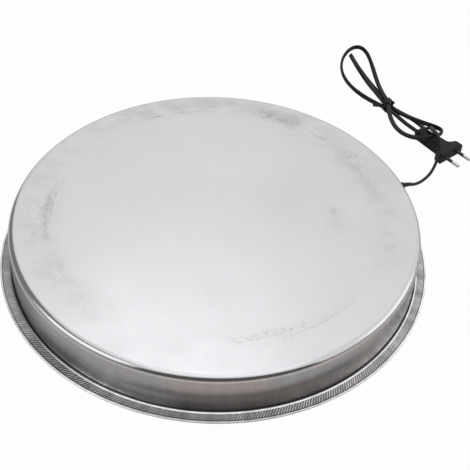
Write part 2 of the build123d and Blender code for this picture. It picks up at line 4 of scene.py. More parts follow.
import bmesh
import bpy
from mathutils import Matrix, Vector


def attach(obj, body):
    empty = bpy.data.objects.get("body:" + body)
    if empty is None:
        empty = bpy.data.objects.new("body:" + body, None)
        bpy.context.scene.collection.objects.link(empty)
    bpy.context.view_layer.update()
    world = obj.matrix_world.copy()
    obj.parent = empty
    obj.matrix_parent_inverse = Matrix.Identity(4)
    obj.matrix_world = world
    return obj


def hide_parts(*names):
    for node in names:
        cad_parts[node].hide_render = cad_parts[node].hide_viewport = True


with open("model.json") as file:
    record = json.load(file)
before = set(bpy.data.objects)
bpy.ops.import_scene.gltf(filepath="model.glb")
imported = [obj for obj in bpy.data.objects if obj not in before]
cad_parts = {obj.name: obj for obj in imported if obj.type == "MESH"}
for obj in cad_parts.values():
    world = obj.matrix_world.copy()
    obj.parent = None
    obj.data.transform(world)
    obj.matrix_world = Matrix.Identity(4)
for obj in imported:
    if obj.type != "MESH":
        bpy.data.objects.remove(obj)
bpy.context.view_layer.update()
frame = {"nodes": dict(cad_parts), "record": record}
nodes = frame["nodes"]
scene = bpy.context.scene
print("frame loaded,", len(nodes), "nodes")


# Camera, fitted to the plate's and the rim's ellipses
view = {
    "aim": (0.019321, 0.024163, 0.0),
    "elevation": 43.54,
    "roll": 3.2865,
    "distance": 1.0168,
    "focalPixels": 1000.0,
    "framePixels": 470.0,
    "sensor": 36.0,
    "clip": (0.01, 50.0),
}


def addCamera(plan):
    rise = math.radians(plan["elevation"])
    roll = math.radians(plan["roll"])
    back = Vector((0, -math.cos(rise), math.sin(rise)))
    level = Vector((1, 0, 0))
    upright = back.cross(level)
    right = level * math.cos(roll) + upright * math.sin(roll)
    up = upright * math.cos(roll) - level * math.sin(roll)
    place = Vector(plan["aim"]) + back * plan["distance"]
    lens = bpy.data.cameras.new("photoView")
    lens.sensor_width = plan["sensor"]
    lens.lens = plan["sensor"] * plan["focalPixels"] / plan["framePixels"]
    lens.clip_start, lens.clip_end = plan["clip"]
    holder = bpy.data.objects.new("photoView", lens)
    turn = Matrix((right, up, back)).transposed().to_4x4()
    holder.matrix_world = Matrix.Translation(place) @ turn
    scene.collection.objects.link(holder)
    scene.camera = holder


addCamera(view)
print("camera placed")


# Small helpers for meshes
sharpEdge = math.radians(40)


def linkMesh(name, mesh):
    piece = bpy.data.objects.new(name, mesh)
    scene.collection.objects.link(piece)
    return piece


def gridMesh(name, rings, shape=None):
    # rings of points, joined ring to ring and capped
    own = shape is None
    shape = bmesh.new() if own else shape
    made = [[shape.verts.new(p) for p in ring] for ring in rings]
    count = len(rings[0])
    for a, b in zip(made, made[1:]):
        for j in range(count):
            k = (j + 1) % count
            shape.faces.new((a[j], a[k], b[k], b[j]))
    shape.faces.new(list(reversed(made[0])))
    shape.faces.new(made[-1])
    return closeMesh(name, shape) if own else None


def closeMesh(name, shape):
    mesh = bpy.data.meshes.new(name)
    for face in shape.faces:
        face.smooth = True
    bmesh.ops.recalc_face_normals(shape, faces=shape.faces)
    shape.to_mesh(mesh)
    shape.free()
    mesh.set_sharp_from_angle(angle=sharpEdge)
    return mesh


def latheMesh(name, profile, steps):
    # profile of (radius, height) from the axis and back to it
    shape = bmesh.new()
    turns = [2 * math.pi * i / steps for i in range(steps)]
    rows = []
    for radius, height in profile:
        around = turns if radius else turns[:1]
        ring = [(radius * math.cos(t), radius * math.sin(t), height) for t in around]
        rows.append([shape.verts.new(p) for p in ring])
    for a, b in zip(rows, rows[1:]):
        for j in range(steps):
            k = (j + 1) % steps
            if len(a) == 1:
                shape.faces.new((a[0], b[j], b[k]))
            elif len(b) == 1:
                shape.faces.new((a[j], b[0], a[k]))
            else:
                shape.faces.new((a[j], b[j], b[k], a[k]))
    return closeMesh(name, shape)


def madeMesh(piece):
    # the mesh that a curve or the modifiers make
    bpy.context.view_layer.update()
    return bpy.data.meshes.new_from_object(piece.evaluated_get(bpy.context.evaluated_depsgraph_get()))


def applyModifiers(piece):
    mesh = madeMesh(piece)
    piece.modifiers.clear()
    piece.data = mesh


def shares(count):
    return [i / count for i in range(count + 1)]


def ease(share):
    return share * share * (3 - 2 * share)


def arcPoints(centre, radius, start, end, count):
    turns = [math.radians(start + (end - start) * i / count) for i in range(count + 1)]
    return [(centre[0] + radius * math.cos(t), centre[1] + radius * math.sin(t)) for t in turns]


def heading(azimuth):
    return Vector((math.cos(math.radians(azimuth)), math.sin(math.radians(azimuth)), 0))


# Cord: one flat twin flex from the bush, through the tied hank, to the plug
cord = {
    "width": 0.0052,
    "thickness": 0.0032,
    "crown": 2.5,
    "sectionPoints": 24,
    "splineOrder": 3,
    "splineSteps": 6,
    "exit": (0.194596, 0.099151, 0.0155),
    "loopSteps": 20,
}
tie = {
    "spot": (0.1899, 0.2512, 0.0),
    "heading": 118.0,
    "low": 0.0038,
    "layer": 0.0047,
    "side": 0.0027,
    "strand": 0.0042,
    "slack": 0.0004,
    "band": 0.0009,
    "bandWidth": 0.0046,
    "stripWidth": 0.0029,
    "crown": 6.0,
    "sectionPoints": 16,
    "corner": 0.0042,
    "cornerSteps": 8,
    "lean": 14.0,
    "ends": [(1, 173.0, 0.0132, -0.0006), (-1, 47.0, 0.0052, 0.0003)],  # side, azimuth, length, sag
    "endRoot": 0.003,
    "endSteps": 6,
    "endTilt": (0.0, 0.72, 0.69),
}
plug = {"entry": (0.2218, 0.2042, 0.00695), "heading": -48.0}

tieSpot = Vector(tie["spot"])
tieMiddle = tieSpot + Vector((0, 0, tie["low"] + tie["layer"]))
tieFace = tie["side"] + tie["strand"] / 2 + tie["slack"]
tieWay = heading(tie["heading"])
tieAcross = heading(tie["heading"] + 90)
strands = {
    "lead": tieSpot + Vector((0, 0, tie["low"])),
    "first": tieSpot + Vector((0, 0, tie["low"] + 2 * tie["layer"])),
    "second": tieMiddle - tieAcross * tie["side"],
    "third": tieMiddle + tieAcross * tie["side"],
}
leadPoints = [
    cord["exit"],
    (0.199942, 0.101875, 0.0155),
    (0.2068, 0.1056, 0.0118),
    (0.2146, 0.1150, 0.0072),
    (0.2217, 0.1256, 0.0037),
    (0.2272, 0.1334, 0.0029),
    (0.2312, 0.1394, 0.0047),
    (0.2341, 0.1446, 0.0080),
    (0.2362, 0.1491, 0.0118),
    (0.2377, 0.1540, 0.0154),
    (0.2390, 0.1590, 0.0204),
    (0.2398, 0.1656, 0.0232),
    (0.2388, 0.1733, 0.0248),
    (0.2360, 0.1828, 0.0246),
    (0.2342, 0.1918, 0.0216),
    (0.2332, 0.2003, 0.0178),
    (0.2320, 0.2067, 0.0118),
    (0.2298, 0.2132, 0.0058),
    (0.2264, 0.2214, 0.0041),
    (0.2204, 0.2300, 0.0039),
    (0.2128, 0.2372, 0.0039),
    (0.2054, 0.2424, 0.0038),
    (0.1980, 0.2466, 0.0037),
]
foldSide = Vector((-0.25, -0.58, 0.777))
hankLoops = [  # start, end, way, side, reach, width, fullness, bow, lift, sway
    ("lead", "first", heading(109.1), heading(199.1), 0.1077, 0.0208, -0.15, 0.0122, 0.012, 0.0),
    ("first", "second", heading(-55.2), heading(34.8), 0.0834, -0.0156, 0.45, -0.0099, 0.0088, 0.0),
    ("second", "third", heading(111.9), foldSide, 0.1058, -0.0075, 0.6, 0.0013, 0.002, 0.0024),
]
plugPoints = [(0.1968, 0.2372, 0.0074), (0.2048, 0.2248, plug["entry"][2])]


def hankLoop(start, end, way, side, reach, width, fullness, bow, lift, sway):
    # reaches along the way and swings aside, from strand to strand
    points = []
    for share in shares(cord["loopSteps"])[1:-1]:
        swing = math.sin(math.pi * share)
        belly = 4 * swing * (1 - swing)
        across = width * math.sin(2 * math.pi * share) * (1 + fullness * swing**2) + bow * belly
        place = strands[start].lerp(strands[end], share) + way * reach * swing + side * across
        aside = Vector((-way.y, way.x, 0)) * sway * belly
        points.append(place + aside + Vector((0, 0, lift * swing**2)))
    return points


def cordRoute():
    lead = [Vector(p) for p in leadPoints]
    leaving = (lead[-1] - lead[-2]).normalized()
    route = lead + [lead[-1] + leaving * cord["width"], strands["lead"]]
    for start, end, *form in hankLoops:
        route = route + hankLoop(start, end, *form) + [strands[end]]
    entry = Vector(plug["entry"])
    route = route + [Vector(p) for p in plugPoints]
    return route + [entry - heading(plug["heading"]) * 2 * cord["width"], entry]


def splinePoints(name, points):
    curve = bpy.data.curves.new(name, "CURVE")
    curve.dimensions = "3D"
    line = curve.splines.new("NURBS")
    line.points.add(len(points) - 1)
    for knot, place in zip(line.points, points):
        knot.co = (*place, 1.0)
    line.order_u = cord["splineOrder"]
    line.use_endpoint_u = True
    line.resolution_u = cord["splineSteps"]
    holder = bpy.data.objects.new(name, curve)
    scene.collection.objects.link(holder)
    mesh = madeMesh(holder)
    places = [v.co.copy() for v in mesh.vertices]
    bpy.data.objects.remove(holder)
    bpy.data.meshes.remove(mesh)
    return places


# which way the cord's wide side runs, by the distance from the exit
facing = [
    (0.000, (-0.454, 0.891, 0.0)),
    (0.004, (-0.454, 0.891, 0.0)),
    (0.018, (-0.1, 0.72, -0.68)),
    (0.092, (0.1, 0.70, -0.70)),
    (0.118, (0.9, 0.45, 0.0)),
    (0.150, (0.9, 0.45, 0.0)),
    (0.195, (0.56, 0.83, 0.0)),
    (0.228, (0.4, 0.6, 0.7)),
    (0.255, (0.0, 0.0, 1.0)),
    (0.330, (0.0, 0.0, 1.0)),
    (0.362, (0.3, 0.1, 0.95)),
    (0.388, (0.8, 0.2, 0.55)),
    (0.412, (0.95, 0.3, 0.1)),
    (0.440, (1.0, 0.0, 0.0)),
    (0.470, (0.95, 0.25, 0.1)),
    (0.510, (0.6, 0.75, 0.25)),
    (0.540, (0.3, 0.6, 0.75)),
    (0.560, (0.0, 0.0, 1.0)),
    (0.590, (0.3, 0.3, 0.9)),
    (0.620, (0.6, 0.6, 0.5)),
    (0.648, (0.20, 0.80, -0.56)),
    (0.690, (0.712, 0.312, 0.628)),
    (0.806, (0.712, 0.312, 0.628)),
    (0.856, (0.20, 0.80, -0.56)),
    (0.885, (0.80, 0.60, 0.0)),
    (0.920, (0.743, 0.669, 0.0)),
]


def facingAt(run):
    for (nearRun, nearWay), (farRun, farWay) in zip(facing, facing[1:]):
        if run <= farRun:
            share = max(0.0, (run - nearRun) / (farRun - nearRun))
            return Vector(nearWay).lerp(Vector(farWay), ease(share))
    return Vector(facing[-1][1])


def crownedSection(width, thickness, crown, count):
    # flat oval, fuller than an ellipse
    points = []
    for step in range(count):
        angle = 2 * math.pi * step / count
        c, s = math.cos(angle), math.sin(angle)
        across = math.copysign(abs(c) ** (2 / crown), c) * width / 2
        points.append((across, math.copysign(abs(s) ** (2 / crown), s) * thickness / 2))
    return points


def flatTube(name, path, section, wayAt, shape=None):
    rings, run, last = [], 0.0, None
    for i, place in enumerate(path):
        before, after = path[max(i - 1, 0)], path[min(i + 1, len(path) - 1)]
        along = (after - before).normalized()
        if i:
            run = run + (place - path[i - 1]).length
        wide = wayAt(run)
        wide = (wide - along * wide.dot(along)).normalized()
        if last is not None and wide.dot(last) < 0:
            wide = -wide
        last = wide
        thin = along.cross(wide)
        rings.append([place + wide * a + thin * b for a, b in section])
    return gridMesh(name, rings, shape=shape), run


cordPath = splinePoints("cordRoute", cordRoute())
cordSection = crownedSection(cord["width"], cord["thickness"], cord["crown"], cord["sectionPoints"])
cordMesh, cordLength = flatTube("flat_cord", cordPath, cordSection, facingAt)
flatCord = linkMesh("flat_cord", cordMesh)
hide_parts("cord_lead", "cord_hank")
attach(flatCord, "base")
print("cord laid,", round(cordLength, 3), "m")


# Twisted tie: two leaning turns of flat strip, a tail and a short nub
def bandLoop(lean):
    # centre line of one turn round the strands
    halfHigh = tie["layer"] + tie["strand"] / 2 + tie["slack"]
    corner = tie["corner"]
    places = []
    for cx, cz, start in ((1, 1, 0), (-1, 1, 90), (-1, -1, 180), (1, -1, 270)):
        centre = (cx * (tieFace - corner), cz * (halfHigh - corner))
        turned = arcPoints(centre, corner + tie["band"] / 2, start, start + 90, tie["cornerSteps"])
        for across, high in turned:
            shift = math.tan(math.radians(lean)) * high
            places.append(tieMiddle + tieAcross * across + Vector((0, 0, high)) + tieWay * shift)
    return places + places[:1]


def addTie():
    shape = bmesh.new()
    band = crownedSection(tie["bandWidth"], tie["band"], tie["crown"], tie["sectionPoints"])
    for lean in (tie["lean"], -tie["lean"]):
        flatTube("", bandLoop(lean), band, lambda run: tieWay, shape)
    strip = crownedSection(tie["stripWidth"], tie["band"], tie["crown"], tie["sectionPoints"])
    tilt = Vector(tie["endTilt"])
    for side, azimuth, length, sag in tie["ends"]:
        root = tieMiddle + tieAcross * side * tieFace
        start = root - heading(azimuth) * tie["endRoot"]
        end = root + heading(azimuth) * length
        path = [start.lerp(end, s) + Vector((0, 0, sag * s**2)) for s in shares(tie["endSteps"])]
        flatTube("", path, strip, lambda run: tilt, shape)
    piece = linkMesh("wire_tie", closeMesh("wire_tie", shape))
    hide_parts("hank_tie")
    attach(piece, "base")
    return piece


wireTie = addTie()
print("tie wound")


# Pan: plate, wall and flange in one smooth sheet
pan = {
    "height": 0.0472,
    "wallRadius": 0.1984,
    "sheet": 0.0008,
    "plateRings": (0.03, 0.1, 0.17),
    "corner": 0.0062,
    "cornerEdge": 0.0002,
    "cornerSteps": 14,
    "insideSteps": 10,
    "wallRings": (0.028, 0.012),
    "foot": 0.0016,
    "footEdge": 0.0001,
    "footSteps": 8,
    "flangeRadius": 0.2073,
    "flangeTop": 0.0014,
    "exitAzimuth": 27.0,
    "exitHeight": 0.0155,
    "holeRadius": 0.0047,
    "holeSides": 16,
    "drillReach": 0.006,
    "steps": 360,
}


def panProfile():
    top, wall, sheet = pan["height"], pan["wallRadius"], pan["sheet"]
    corner, foot, low = pan["corner"], pan["foot"], pan["flangeTop"]
    edge, under = pan["cornerEdge"], top - sheet
    bend = (wall - corner, top - corner)
    fold = (wall + foot, low + foot)
    outer = [(0, top)] + [(r, top) for r in pan["plateRings"]] + [(bend[0] - edge, top)]
    outer = outer + arcPoints(bend, corner, 90, 0, pan["cornerSteps"])
    outer = outer + [(wall, bend[1] - edge)] + [(wall, z) for z in pan["wallRings"]]
    outer = outer + [(wall, fold[1] + pan["footEdge"])] + arcPoints(fold, foot, 180, 270, pan["footSteps"])
    outer = outer + [(pan["flangeRadius"], low), (pan["flangeRadius"], low - sheet)]
    inner = arcPoints(fold, foot + sheet, 270, 180, pan["footSteps"])
    inner = inner + arcPoints(bend, corner - sheet, 0, 90, pan["insideSteps"])
    return outer + inner + [(pan["plateRings"][1], under), (0, under)]


def drillExit(piece):
    # hole for the bush
    way = heading(pan["exitAzimuth"])
    side = Vector((0, 0, 1)).cross(way)
    sides = pan["holeSides"]
    circle = arcPoints((0, 0), pan["holeRadius"], 0, 360 - 360 / sides, sides - 1)
    rings = []
    for reach in (-pan["drillReach"], pan["drillReach"]):
        middle = way * (pan["wallRadius"] + reach) + Vector((0, 0, pan["exitHeight"]))
        rings.append([middle + side * a + Vector((0, 0, b)) for a, b in circle])
    cutter = linkMesh("exitCutter", gridMesh("exitCutter", rings))
    cut = piece.modifiers.new("exit", "BOOLEAN")
    cut.operation = "DIFFERENCE"
    cut.solver = "EXACT"
    cut.object = cutter
    applyModifiers(piece)
    piece.data.set_sharp_from_angle(angle=sharpEdge)
    bpy.data.objects.remove(cutter)


drawnPan = linkMesh("drawn_pan", latheMesh("drawn_pan", panProfile(), pan["steps"]))
drillExit(drawnPan)
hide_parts("heater_pan")
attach(drawnPan, "base")
print("pan drawn,", len(drawnPan.data.polygons), "faces")


# Base plate: pressed panel and the hem rolled over the pan's flange
hem = {
    "rimRadius": 0.21,
    "sheet": 0.0006,
    "bead": 0.0011,
    "beadSteps": 22,
    "step": 0.0007,
    "stepSteps": 6,
    "leafTop": 0.0020,
    "leafBend": 0.2010,
    "bendEdge": 0.0001,
    "bendRise": 0.00004,
    "leafEdge": 0.1998,
    "leafRise": 0.00055,
    "panelRings": (0.05, 0.09),
    "ribRadius": 0.110,
    "ribWidth": 0.012,
    "ribRise": 0.0014,
    "ribPower": 1.3,
    "ribSteps": 12,
    "outerRing": 0.15,
    "panelRadius": 0.184,
    "panelEdge": 0.001,
    "panelRise": 0.0022,
    "panelSlope": 0.008,
    "slopeSteps": 10,
    "footRing": 0.2,
    "steps": 360,
}


def hemLine():
    # middle of the sheet, from the axis to the leaf's edge
    half = hem["sheet"] / 2
    raised = hem["panelRise"] + half
    beadMiddle = hem["bead"] - half
    beadCentre = (hem["rimRadius"] - hem["bead"], hem["bead"])
    leafMiddle = hem["leafTop"] - half
    reach = beadMiddle + hem["step"]
    turn = math.degrees(math.acos(1 - (hem["bead"] + beadMiddle - leafMiddle) / reach))
    stepCentre = (
        beadCentre[0] + reach * math.cos(math.radians(90 + turn)),
        beadCentre[1] + reach * math.sin(math.radians(90 + turn)),
    )
    line = [(0, raised)] + [(r, raised) for r in hem["panelRings"]]
    for share in shares(hem["ribSteps"]):
        dip = hem["ribRise"] * math.sin(math.pi * share) ** hem["ribPower"]
        line.append((hem["ribRadius"] + hem["ribWidth"] * (share - 0.5), raised - dip))
    line = line + [(hem["outerRing"], raised), (hem["panelRadius"] - hem["panelEdge"], raised)]
    for share in shares(hem["slopeSteps"]):
        fall = hem["panelRise"] * ease(share)
        line.append((hem["panelRadius"] + hem["panelSlope"] * share, raised - fall))
    line.append((hem["footRing"], half))
    line = line + arcPoints(beadCentre, beadMiddle, -90, 90 + turn, hem["beadSteps"])
    line = line + arcPoints(stepCentre, hem["step"], turn - 90, -90, hem["stepSteps"])[1:]
    line.append((hem["leafBend"] + hem["bendEdge"], leafMiddle))
    line.append((hem["leafBend"] - hem["bendEdge"], leafMiddle + hem["bendRise"]))
    return line + [(hem["leafEdge"], leafMiddle + hem["leafRise"])]


def hemProfile():
    half = hem["sheet"] / 2
    line = hemLine()
    lower, upper = [], []
    for i, (r, z) in enumerate(line):
        before, after = line[max(i - 1, 0)], line[min(i + 1, len(line) - 1)]
        dr, dz = after[0] - before[0], after[1] - before[1]
        length = math.hypot(dr, dz)
        lower.append((r + half * dz / length, z - half * dr / length))
        upper.append((r - half * dz / length, z + half * dr / length))
    lower[0], upper[0] = (0, line[0][1] - half), (0, line[0][1] + half)
    return lower + upper[::-1]


hemmedBase = linkMesh("hemmed_base", latheMesh("hemmed_base", hemProfile(), hem["steps"]))
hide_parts("base_plate")
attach(hemmedBase, "base")
print("base hemmed,", len(hemmedBase.data.polygons), "faces")


# Small helpers for shader nodes
def addNode(tree, kind, **settings):
    node = tree.nodes.new(kind)
    for name, value in settings.items():
        setattr(node, name, value)
    return node


def feed(tree, socket, value):
    if isinstance(value, bpy.types.NodeSocket):
        tree.links.new(value, socket)
    else:
        socket.default_value = value


def feedAll(tree, node, *values):
    for socket, value in zip(node.inputs, values):
        feed(tree, socket, value)
    return node.outputs


def calc(tree, operation, *values):
    return feedAll(tree, addNode(tree, "ShaderNodeMath", operation=operation), *values)[0]


def vectorCalc(tree, operation, *values):
    return feedAll(tree, addNode(tree, "ShaderNodeVectorMath", operation=operation), *values)


def chain(tree, operation, value, *others):
    for other in others:
        value = calc(tree, operation, value, other)
    return value


def product(tree, *values):
    return chain(tree, "MULTIPLY", *values)


def ramp(tree, value, low, high, toLow=0.0, toHigh=1.0):
    node = addNode(tree, "ShaderNodeMapRange", interpolation_type="SMOOTHSTEP")
    return feedAll(tree, node, value, low, high, toLow, toHigh)[0]


def between(tree, value, rise, fall):
    # 1 from the end of the rise to the start of the fall
    return product(tree, ramp(tree, value, *rise), ramp(tree, value, *fall, 1.0, 0.0))


def blend(tree, share, first, second):
    # blends two numbers
    node = addNode(tree, "ShaderNodeMix", data_type="FLOAT")
    feed(tree, node.inputs[0], share)
    feed(tree, node.inputs[2], first)
    feed(tree, node.inputs[3], second)
    return node.outputs[0]


def tint(tree, share, first, second):
    # blends two colours
    node = addNode(tree, "ShaderNodeMix", data_type="RGBA")
    feed(tree, node.inputs[0], share)
    feed(tree, node.inputs[6], first)
    feed(tree, node.inputs[7], second)
    return node.outputs[2]


def dim(tree, colour, value):
    # colour times a number
    node = addNode(tree, "ShaderNodeVectorMath", operation="SCALE")
    feed(tree, node.inputs[0], colour)
    feed(tree, node.inputs["Scale"], value)
    return node.outputs[0]


def splitXYZ(tree, place):
    return feedAll(tree, addNode(tree, "ShaderNodeSeparateXYZ"), place)


def joinXYZ(tree, x, y, z):
    return feedAll(tree, addNode(tree, "ShaderNodeCombineXYZ"), x, y, z)[0]


def objectPlace(tree):
    return addNode(tree, "ShaderNodeTexCoord").outputs["Object"]


def placeGroup(tree, group, **values):
    node = addNode(tree, "ShaderNodeGroup", node_tree=group)
    for name, value in values.items():
        feed(tree, node.inputs[name], value)
    return node.outputs


def newGroup(name, inputs, outputs):
    group = bpy.data.node_groups.new(name, "ShaderNodeTree")
    for way, sockets in (("INPUT", inputs), ("OUTPUT", outputs)):
        for title, kind in sockets.items():
            group.interface.new_socket(title, in_out=way, socket_type="NodeSocket" + kind)
    return group, addNode(group, "NodeGroupInput").outputs, addNode(group, "NodeGroupOutput").inputs


def newMaterial(name, metallic=0.0, roughness=0.5):
    material = bpy.data.materials.new(name)
    material.use_nodes = True
    tree = material.node_tree
    shader = tree.nodes["Principled BSDF"]
    shader.inputs["Metallic"].default_value = metallic
    shader.inputs["Roughness"].default_value = roughness
    return material, tree, shader


bumpDistance = 0.0002


def dress(tree, shader, colour, rough, relief, strength):
    bump = addNode(tree, "ShaderNodeBump")
    bump.inputs["Strength"].default_value = strength
    bump.inputs["Distance"].default_value = bumpDistance
    tree.links.new(relief, bump.inputs["Height"])
    for name, value in (("Base Color", colour), ("Roughness", rough), ("Normal", bump.outputs[0])):
        tree.links.new(value, shader.inputs[name])


def giveMaterial(piece, material):
    piece.data.materials.clear()
    piece.data.materials.append(material)


# Shared effects: place round the axis, grain, and rub marks
grainNoise = {"roughness": 0.55, "range": (0.3, 0.7)}
rubCore = 0.35


def polarGroup():
    outputs = {"Skin": "Vector", "Disc": "Vector", "Radius": "Float", "Height": "Float"}
    group, _, out = newGroup("polarField", {}, outputs)
    x, y, z = splitXYZ(group, objectPlace(group))
    flat = joinXYZ(group, x, y, 0.0)
    radius = vectorCalc(group, "LENGTH", flat)["Value"]
    around = splitXYZ(group, vectorCalc(group, "NORMALIZE", flat)["Vector"])
    group.links.new(joinXYZ(group, around["X"], around["Y"], z), out["Skin"])
    group.links.new(joinXYZ(group, around["X"], around["Y"], radius), out["Disc"])
    group.links.new(radius, out["Radius"])
    group.links.new(z, out["Height"])
    return group


def grainGroup():
    # noise on a stretched place, from Low to High
    inputs = {"Place": "Vector", "Stretch": "Vector", "Detail": "Float", "Low": "Float", "High": "Float"}
    group, given, out = newGroup("grain", inputs, {"Value": "Float"})
    stretched = vectorCalc(group, "MULTIPLY", given["Place"], given["Stretch"])["Vector"]
    noise = addNode(group, "ShaderNodeTexNoise")
    noise.inputs["Scale"].default_value = 1.0
    noise.inputs["Roughness"].default_value = grainNoise["roughness"]
    group.links.new(stretched, noise.inputs["Vector"])
    group.links.new(given["Detail"], noise.inputs["Detail"])
    span = addNode(group, "ShaderNodeMapRange")
    ends = (*grainNoise["range"], given["Low"], given["High"])
    group.links.new(feedAll(group, span, noise.outputs[0], *ends)[0], out["Value"])
    return group


def rubGroup():
    # soft patch on a ring, round the direction Middle
    inputs = {"Disc": "Vector", "Middle": "Vector"}
    inputs.update({title: "Float" for title in ("Reach", "Core", "Ring", "Width")})
    group, given, out = newGroup("rubMark", inputs, {"Mask": "Float"})
    x, y, radius = splitXYZ(group, given["Disc"])
    match = vectorCalc(group, "DOT_PRODUCT", joinXYZ(group, x, y, 0.0), given["Middle"])["Value"]
    alongMask = ramp(group, match, given["Reach"], given["Core"])
    away = calc(group, "ABSOLUTE", calc(group, "SUBTRACT", radius, given["Ring"]))
    acrossMask = ramp(group, away, 0.0, given["Width"], 1.0, 0.0)
    group.links.new(product(group, alongMask, acrossMask), out["Mask"])
    return group


polarField, grain, rubMark = polarGroup(), grainGroup(), rubGroup()


def grainValue(tree, place, stretch, low, high, detail=2.0):
    values = {"Place": place, "Stretch": stretch, "Low": low, "High": high, "Detail": detail}
    return placeGroup(tree, grain, **values)["Value"]


def grainTone(tree, place, *plans):
    # product of several grains
    return product(tree, *[grainValue(tree, place, *plan) for plan in plans])


def rubSum(tree, disc, marks):
    parts = []
    for azimuth, half, ring, width, strength in marks:
        reach, core = [math.cos(math.radians(half * part)) for part in (1, rubCore)]
        spot = {"Disc": disc, "Middle": heading(azimuth), "Reach": reach, "Core": core}
        mask = placeGroup(tree, rubMark, **spot, Ring=ring, Width=width)["Mask"]
        parts.append(product(tree, mask, strength))
    return chain(tree, "ADD", *parts)


# Pan finish: pale rolled plate with ring-shaped scuffs, wall brushed upwards; on the wall, painted shade
# darker towards the foot, a dark painted-shade foot, painted light patches low down and a painted
# highlight line under the corner
panGrains = {  # stretch, low, high, detail
    "cloud": ((9, 9, 9), 0.965, 1.03, 3.0),
    "rolled": ((500, 120, 120), 0.99, 1.01),
    "blotch": ((38, 62, 38), -0.5, 1.9, 6.0),
    "turned": ((16, 16, 900), 0.1, 1.6, 3.0),
    "broken": ((160, 160, 160), 0.2, 1.6, 4.0),
    "dash": ((190, 760, 190), 0.0, 1.0, 3.0),
    "speck": ((330, 330, 330), 0.0, 1.0),
    "brushed": ((420, 420, 10), 0.92, 1.07, 3.0),
    "streak": ((26, 26, 6), 0.95, 1.05),
    "warm": ((2.2, 2.2, 40), 0.0, 1.0, 1.0),
    "plateRough": ((26, 26, 26), 0.35, 0.41, 4.0),
    "wallRough": ((160, 160, 14), 0.283, 0.297),
    "plateBump": ((500, 160, 160), 0.0, 1.0),
    "wallBump": ((260, 260, 18), 0.0, 1.0),
}
panFinish = {
    "plate": (0.595, 0.595, 0.613, 1),
    "wall": (0.452, 0.452, 0.455, 1),
    "wallWarm": (0.490, 0.436, 0.424, 1),
    # foot is painted shade: a dark band along the wall's foot, standing in for the shade in the gap
    # between the wall and the hem's lip
    "foot": (0.22, 0.22, 0.22, 1),
    # depths below the plate, over which a mask comes or goes
    "wallStart": (0.0016, 0.0042),
    # the next two rows bound a painted highlight line just under the corner
    "lineStart": (0.0052, 0.0058),
    "lineEnd": (0.0065, 0.0072),
    "cornerStart": (0.00005, 0.0003),
    "cornerEnd": (0.0050, 0.0075),
    # heights, over which a mask goes
    "footEnd": (0.0029, 0.0034),
    "shadeEnd": (0.003, 0.024),
    "rubbedEnd": (0.012, 0.022),
    # lowShade is painted shade: the wall's tone at its foot, darker towards the bottom
    "lowShade": 0.50,
    "rubbedShade": 1.45,
    "drawLine": 0.42,
    "cornerRoughness": 0.15,
    "scuffRoughness": 0.3,
    "scuffMost": 0.6,
    "dashSlant": -38.0,
    "dashRange": (0.42, 1.05),
    "speckRange": (0.62, 0.95),
    "warmRange": (0.20, 0.65),
    "bump": 0.03,
    # azimuth, half length in degrees, ring radius and half width in metres, strength
    "hazes": [
        (192, 30, 0.1720, 0.0300, 0.055),
        (145, 34, 0.1840, 0.0260, 0.070),
        # this haze darkens the plate towards the back rim
        (92, 45, 0.1830, 0.0280, 0.115),
        (50, 32, 0.1680, 0.0340, 0.065),
        (2, 30, 0.1720, 0.0300, 0.050),
        (222, 22, 0.1650, 0.0300, 0.04),
        (5, 16, 0.1160, 0.0160, 0.050),
        (-60, 28, 0.1580, 0.0140, 0.020),
    ],
    "smears": [
        (183, 17, 0.1635, 0.0055, 0.22),
        (176, 14, 0.1590, 0.0014, 0.20),
        (212, 10, 0.1590, 0.0060, 0.08),
        (108, 19, 0.1685, 0.0016, 0.20),
        (112, 14, 0.1640, 0.0012, 0.10),
        (70, 11, 0.1715, 0.0110, 0.19),
        (53, 6, 0.1680, 0.0030, 0.14),
        (26, 14, 0.1620, 0.0100, 0.10),
        (5, 11, 0.1160, 0.0050, 0.06),
        (-52, 18, 0.1635, 0.0016, 0.15),
        (-30, 24, 0.1090, 0.0016, 0.045),
    ],
    "flecks": [
        (184, 22, 0.1560, 0.0120, 0.12),
        (222, 16, 0.1640, 0.0180, 0.12),
        (72, 14, 0.1740, 0.0160, 0.22),
        (28, 24, 0.1600, 0.0220, 0.13),
        (2, 20, 0.1650, 0.0160, 0.09),
        (-72, 17, 0.1565, 0.0065, 0.30),
        (-45, 16, 0.1600, 0.0050, 0.14),
        (-88, 12, 0.1000, 0.0160, 0.09),
    ],
    "pits": [
        (33, 13, 0.1680, 0.0170, 0.20),
        (188, 20, 0.1700, 0.0200, 0.16),
        (-12, 14, 0.1650, 0.0180, 0.10),
        (-68, 18, 0.1600, 0.0150, 0.16),
    ],
    # painted light: brighter patches low on the wall, standing in for the bright mirror image of the hem
    # there
    "rubbedFoot": [
        (249, 18, 0.1984, 0.0200, 1.0),
        (325, 18, 0.1984, 0.0200, 0.6),
    ],
    "warmSide": [(284, 52, 0.1984, 0.0200, 1.0)],
}


def plateScuffs(tree, place, disc):
    # share of the plate's tone that the scuffs take
    blotch = calc(tree, "MAXIMUM", grainValue(tree, place, *panGrains["blotch"]), 0.0)
    broken = grainValue(tree, place, *panGrains["broken"])
    turned = product(tree, grainValue(tree, disc, *panGrains["turned"]), broken)
    slanted = addNode(tree, "ShaderNodeMapping")
    slanted.inputs["Rotation"].default_value = (0, 0, math.radians(panFinish["dashSlant"]))
    tree.links.new(place, slanted.inputs["Vector"])
    dash = ramp(tree, grainValue(tree, slanted.outputs[0], *panGrains["dash"]), *panFinish["dashRange"])
    speck = ramp(tree, grainValue(tree, place, *panGrains["speck"]), *panFinish["speckRange"])
    textures = {"hazes": blotch, "smears": turned, "flecks": dash, "pits": speck}
    marks = [product(tree, rubSum(tree, disc, panFinish[kind]), item) for kind, item in textures.items()]
    return calc(tree, "MINIMUM", chain(tree, "ADD", *marks), panFinish["scuffMost"])


